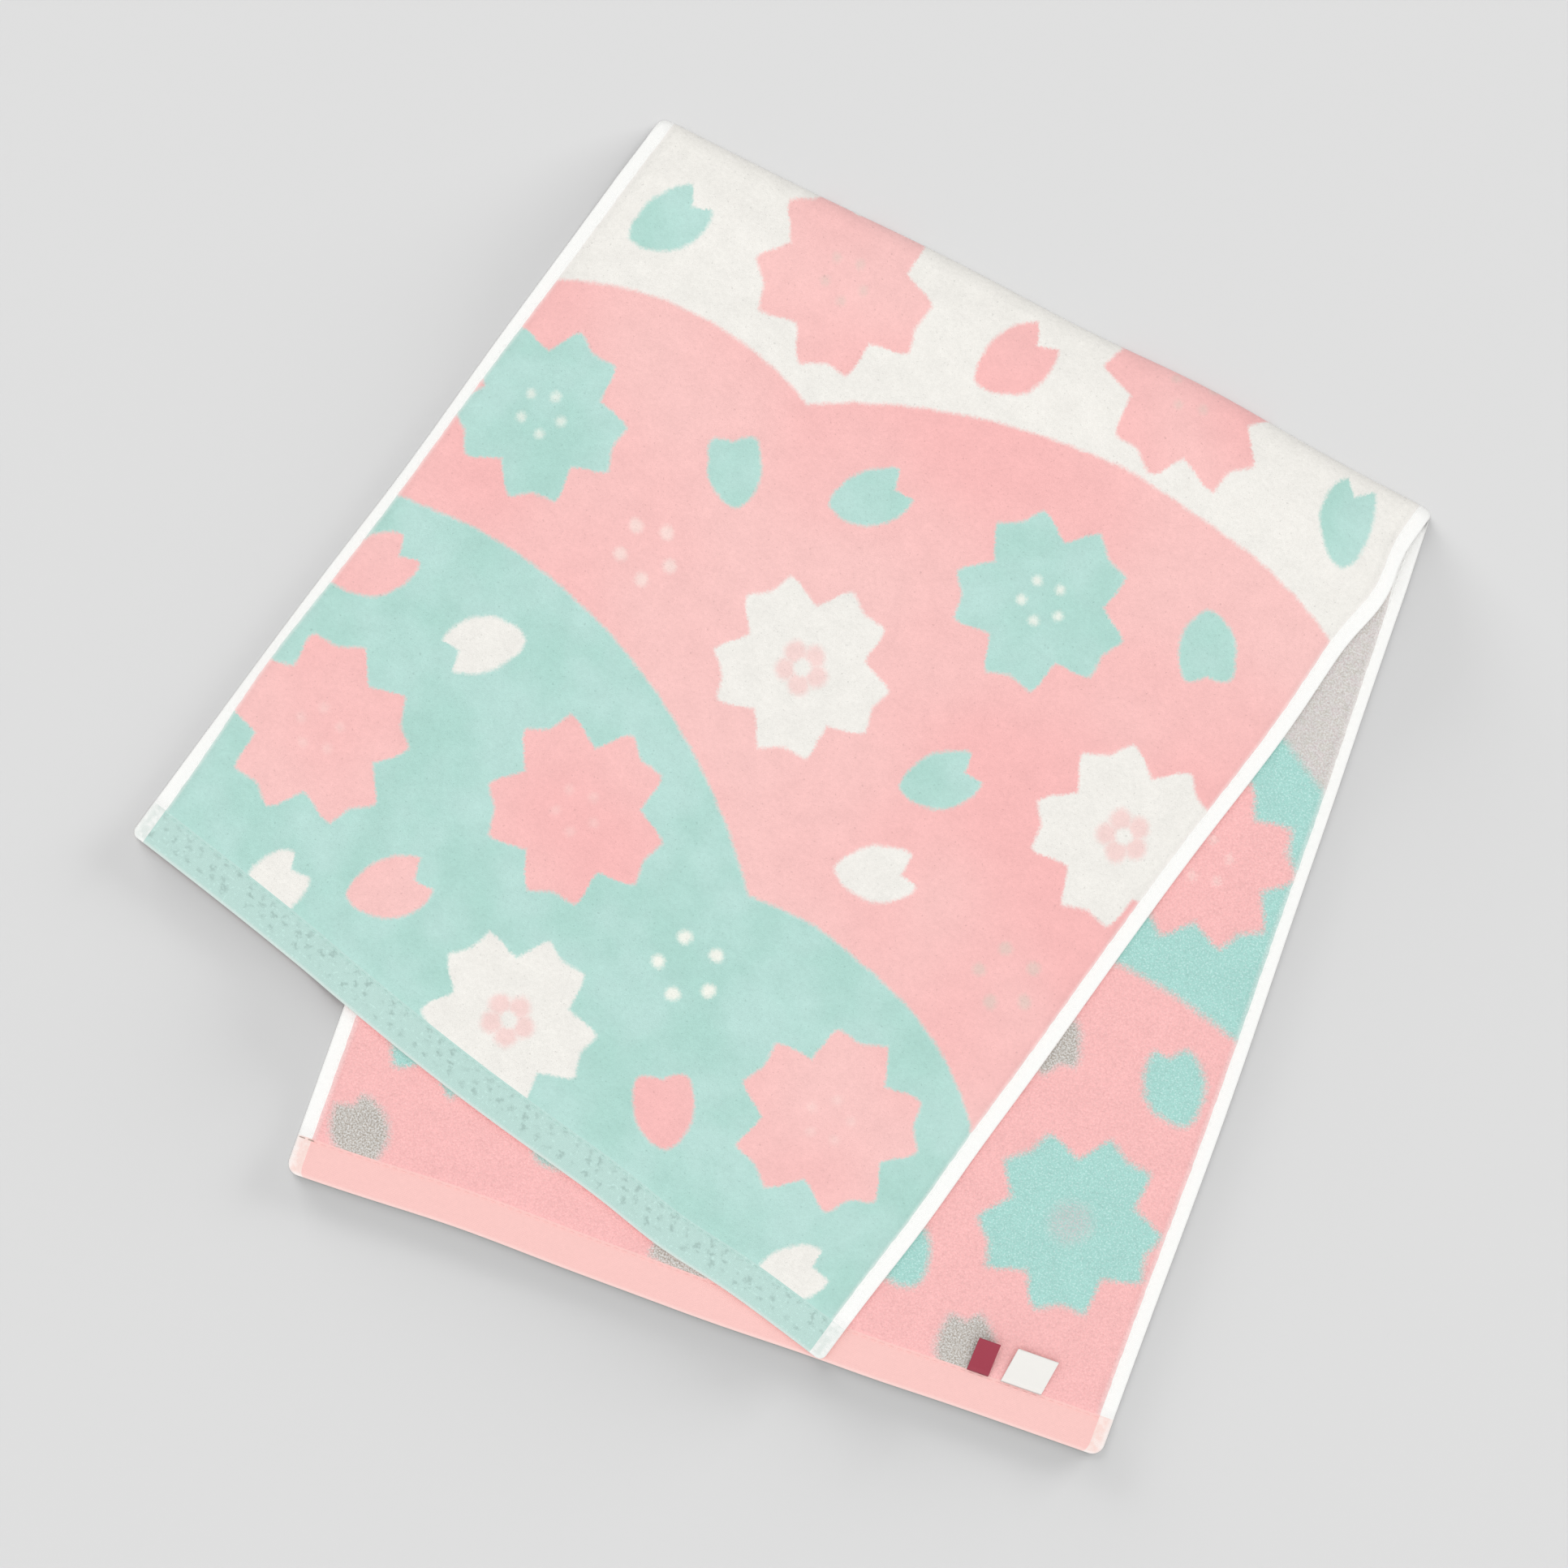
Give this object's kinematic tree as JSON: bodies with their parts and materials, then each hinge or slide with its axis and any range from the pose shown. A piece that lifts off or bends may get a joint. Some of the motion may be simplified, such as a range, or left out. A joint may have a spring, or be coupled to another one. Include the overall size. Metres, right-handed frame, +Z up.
{
  "type": "folded face towel",
  "caption": "Oblong cotton towel folded once across its width and laid flat, its layers fanned apart, with narrow side hems, wide end hems and small woven labels.",
  "frame": {"origin": "on the resting surface, under the middle of the folded towel's outline", "axes": "+X along the fold, +Y from the hems towards the fold, +Z up, away from the surface"},
  "size_m": [0.449, 0.4386, 0.0105],
  "materials": {
    "towelling": "sheared velour front and looped back in pink, mint and cream",
    "label_red": "plain woven ribbon",
    "label_white": "plain woven ribbon"
  },
  "bodies": {
    "root": {"towel": "towelling", "label_small": "label_red", "label_wide": "label_white"}
  },
  "joints": []
}
